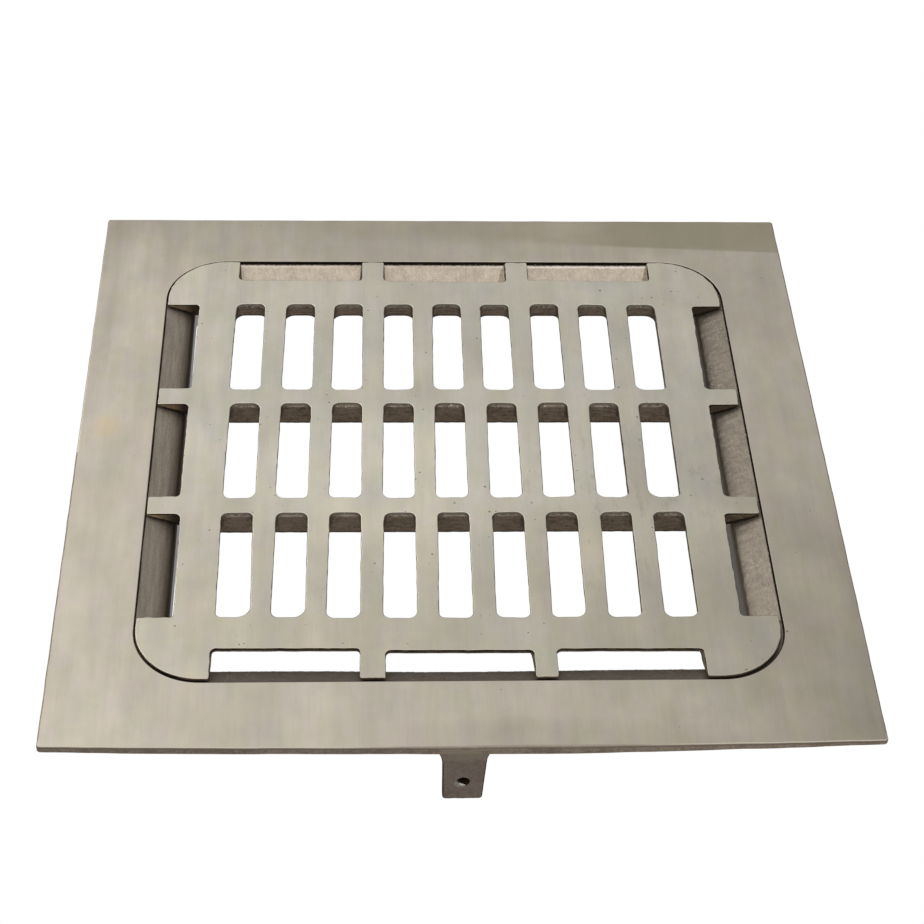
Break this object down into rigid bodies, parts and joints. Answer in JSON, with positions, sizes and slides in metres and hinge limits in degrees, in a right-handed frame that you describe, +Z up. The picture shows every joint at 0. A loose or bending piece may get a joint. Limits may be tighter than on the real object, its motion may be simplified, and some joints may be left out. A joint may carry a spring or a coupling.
{
  "type": "floor drain grate",
  "caption": "Square cast floor drain: flat flange with a sloped inner seat, a short throat skirt, anchor lugs on its sides, and a slotted grate that lifts out.",
  "frame": {"origin": "middle of the drain's box in plan, at the level of the lugs' feet; the top face, which is finished floor level, is 30 mm above it", "axes": "+Z up out of the floor, +X to the right, -Y to the front edge, which bows slightly outwards; the slots run front to back"},
  "size_m": [0.3, 0.301, 0.03],
  "materials": {
    "brushed_flange": "linished to a satin grain that runs front to back",
    "cast_seat": "as sand cast, matt and finely rough",
    "cast_lug": "as cast, lightly dressed, brown grey",
    "brushed_grate": "linished to a satin grain that runs front to back, with small casting pits",
    "cast_rib": "as sand cast, dark brown grey"
  },
  "bodies": {
    "frame": {"flange_plate": "brushed_flange", "seat_ring": "cast_seat", "anchor_lug_front": "cast_lug", "anchor_lug_right": "cast_lug", "anchor_lug_rear": "cast_lug", "anchor_lug_left": "cast_lug"},
    "grate": {"grate_plate": "brushed_grate", "grate_rib_front": "cast_rib", "grate_rib_rear": "cast_rib"}
  },
  "joints": [
    {"name": "grate_lift", "type": "slide", "parent": "frame", "child": "grate", "axis": [0, 0, 1], "range_m": [0, 0.06]}
  ]
}
